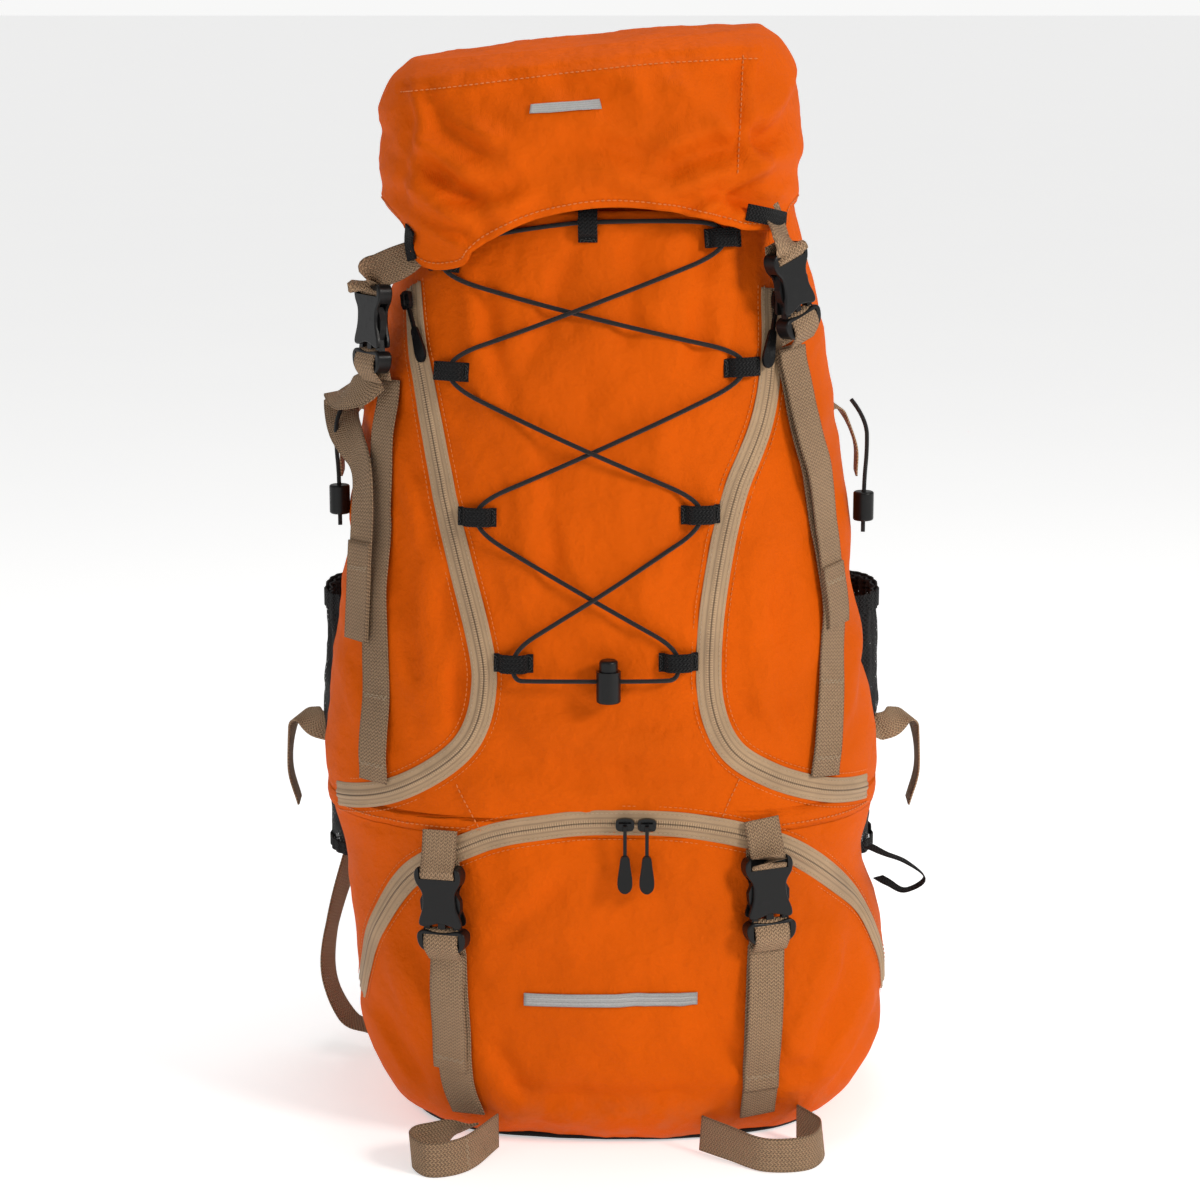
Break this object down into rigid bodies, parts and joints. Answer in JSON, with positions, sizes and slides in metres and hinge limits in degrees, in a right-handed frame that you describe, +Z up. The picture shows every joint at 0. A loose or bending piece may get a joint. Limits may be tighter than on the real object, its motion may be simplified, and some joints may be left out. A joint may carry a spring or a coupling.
{
  "type": "hiking backpack",
  "caption": "Tall internal-frame hiking backpack with a buckled lid, two long zipped front pockets, shock-cord lacing, arched zip and mesh bottle pockets.",
  "frame": {"origin": "on the floor under the middle of the base", "axes": "+Z up, -Y out of the front with the zips, +Y towards the wearer, +X to the right seen from the front"},
  "size_m": [0.463, 0.3619, 0.744],
  "materials": {
    "orange_shell": "coated woven nylon",
    "amber_shell": "coated woven nylon",
    "tan_webbing": "woven webbing",
    "tan_tape": "zip tape with nylon coil",
    "black_mesh": "open knit mesh",
    "black_fabric": "heavy woven nylon",
    "spacer_foam": "foam under spacer mesh",
    "black_cord": "braided shock cord",
    "black_plastic": "satin moulded acetal",
    "zip_metal": "black coated slider",
    "sheet_plastic": "polyethylene sheet",
    "stay_metal": "bare",
    "grip_rubber": "moulded grip on cord"
  },
  "bodies": {
    "pack": {"back_pads": "spacer_foam", "base_panel": "orange_shell", "collar": "orange_shell", "compression_straps": "tan_webbing", "frame_sheet": "sheet_plastic", "lace_loops": "black_fabric", "lacing_cord": "black_cord", "lid_hinge_flap": "orange_shell", "lower_bag": "orange_shell", "lower_sockets": "black_plastic", "lower_stubs": "tan_webbing", "lower_zip": "tan_tape", "main_back": "orange_shell", "main_front": "orange_shell", "main_side_left": "orange_shell", "main_side_right": "orange_shell", "mat_loops": "tan_webbing", "mesh_pocket_left": "black_mesh", "mesh_pocket_right": "black_mesh", "pocket_left": "orange_shell", "pocket_right": "orange_shell", "pocket_zip_left": "tan_tape", "pocket_zip_right": "tan_tape", "pole_loops": "black_cord", "ribbon_loop": "black_fabric", "shoulder_strap_left": "spacer_foam", "shoulder_strap_right": "spacer_foam", "shoulder_webbing": "black_fabric", "stays": "stay_metal", "strap_run_left": "tan_webbing", "strap_run_right": "tan_webbing", "top_webbing": "black_fabric"},
    "lid": {"lid_pocket": "orange_shell", "lid_skirt": "orange_shell", "lid_sockets": "black_plastic", "lid_stubs": "tan_webbing"},
    "upper_clip_left": {"upper_clip_left": "black_plastic", "upper_tail_left": "tan_webbing"},
    "lower_clip_left": {"lower_clip_left": "black_plastic", "lower_tail_left": "tan_webbing"},
    "lower_slider_left": {"lower_slider_left": "zip_metal"},
    "lower_pull_left": {"lower_pull_left": "grip_rubber"},
    "pocket_slider_left": {"pocket_slider_left": "zip_metal"},
    "toggle_left": {"toggle_left": "black_plastic"},
    "hip_wing_left": {"hip_wing_left": "spacer_foam", "hip_clip_left": "black_plastic"},
    "upper_clip_right": {"upper_clip_right": "black_plastic", "upper_tail_right": "tan_webbing"},
    "lower_clip_right": {"lower_clip_right": "black_plastic", "lower_tail_right": "tan_webbing"},
    "lower_slider_right": {"lower_slider_right": "zip_metal"},
    "lower_pull_right": {"lower_pull_right": "grip_rubber"},
    "pocket_slider_right": {"pocket_slider_right": "zip_metal"},
    "toggle_right": {"toggle_right": "black_plastic"},
    "hip_wing_right": {"hip_wing_right": "spacer_foam", "hip_clip_right": "black_plastic"},
    "cord_lock": {"cord_lock_barrel": "black_plastic"},
    "cord_lock_button": {"cord_lock_button": "black_plastic"},
    "sternum": {"sternum_strap": "black_fabric", "sternum_buckle": "black_plastic"}
  },
  "joints": [
    {"name": "lid_hinge", "type": "hinge", "parent": "pack", "child": "lid", "pos_m": [0, 0.114, 0.652], "axis": [-1, 0, 0], "range_deg": [0, 105], "deforming": ["lid_hinge_flap"]},
    {"name": "upper_buckle_left", "type": "slide", "parent": "pack", "child": "upper_clip_left", "axis": [-0.0323, -0.0274, -0.9991], "range_m": [0, 0.03], "deforming": ["strap_run_left", "upper_tail_left"]},
    {"name": "lower_buckle_left", "type": "slide", "parent": "pack", "child": "lower_clip_left", "axis": [0.0499, 0.0004, -0.9988], "range_m": [0, 0.03], "deforming": ["lower_tail_left"]},
    {"name": "upper_buckle_right", "type": "slide", "parent": "pack", "child": "upper_clip_right", "axis": [0.2153, 0.1945, -0.957], "range_m": [0, 0.03], "deforming": ["strap_run_right", "upper_tail_right"]},
    {"name": "lower_buckle_right", "type": "slide", "parent": "pack", "child": "lower_clip_right", "axis": [0.0479, -0.0419, -0.998], "range_m": [0, 0.03], "deforming": ["lower_tail_right"]},
    {"name": "arch_zip_left", "type": "hinge", "parent": "pack", "child": "lower_slider_left", "pos_m": [0.00961, -0.01821, -0.06806], "axis": [0.013, -0.9267, -0.3755], "range_deg": [0, 9.1]},
    {"name": "arch_pull_left", "type": "hinge", "parent": "lower_slider_left", "child": "lower_pull_left", "pos_m": [0.01312, -0.15023, 0.23915], "axis": [-1, 0, 0], "range_deg": [0, 100]},
    {"name": "pocket_zip_left", "type": "slide", "parent": "pack", "child": "pocket_slider_left", "axis": [0.1238, -0.3725, -0.9198], "range_m": [0, 0.0565]},
    {"name": "pole_toggle_left", "type": "slide", "parent": "pack", "child": "toggle_left", "axis": [0, 0, 1], "range_m": [0, 0.004]},
    {"name": "arch_zip_right", "type": "hinge", "parent": "pack", "child": "lower_slider_right", "pos_m": [0.01612, -0.00185, 0.06874], "axis": [0.0053, 0.7712, 0.6366], "range_deg": [0, 13.8]},
    {"name": "arch_pull_right", "type": "hinge", "parent": "lower_slider_right", "child": "lower_pull_right", "pos_m": [0.02765, -0.14989, 0.23878], "axis": [-1, 0, 0], "range_deg": [0, 100]},
    {"name": "pocket_zip_right", "type": "slide", "parent": "pack", "child": "pocket_slider_right", "axis": [-0.0648, -0.2235, -0.9725], "range_m": [0, 0.0617]},
    {"name": "pole_toggle_right", "type": "slide", "parent": "pack", "child": "toggle_right", "axis": [0, 0, 1], "range_m": [0, 0.004]},
    {"name": "cord_lock_slide", "type": "slide", "parent": "pack", "child": "cord_lock", "axis": [1, -0.0041, 0.0002], "range_m": [-0.03, 0.015]},
    {"name": "cord_lock_press", "type": "slide", "parent": "cord_lock", "child": "cord_lock_button", "axis": [0, 0, -1], "range_m": [0, 0.003], "stiffness_N_per_m": 400},
    {"name": "hip_wing_hinge_left", "type": "hinge", "parent": "pack", "child": "hip_wing_left", "pos_m": [-0.08, 0.1185, 0.165], "axis": [0, 0, -1], "range_deg": [0, 75]},
    {"name": "hip_wing_hinge_right", "type": "hinge", "parent": "pack", "child": "hip_wing_right", "pos_m": [0.08, 0.1185, 0.165], "axis": [0, 0, 1], "range_deg": [0, 75]},
    {"name": "sternum_slide", "type": "slide", "parent": "pack", "child": "sternum", "axis": [0, 0, 1], "range_m": [-0.04, 0.025]}
  ]
}
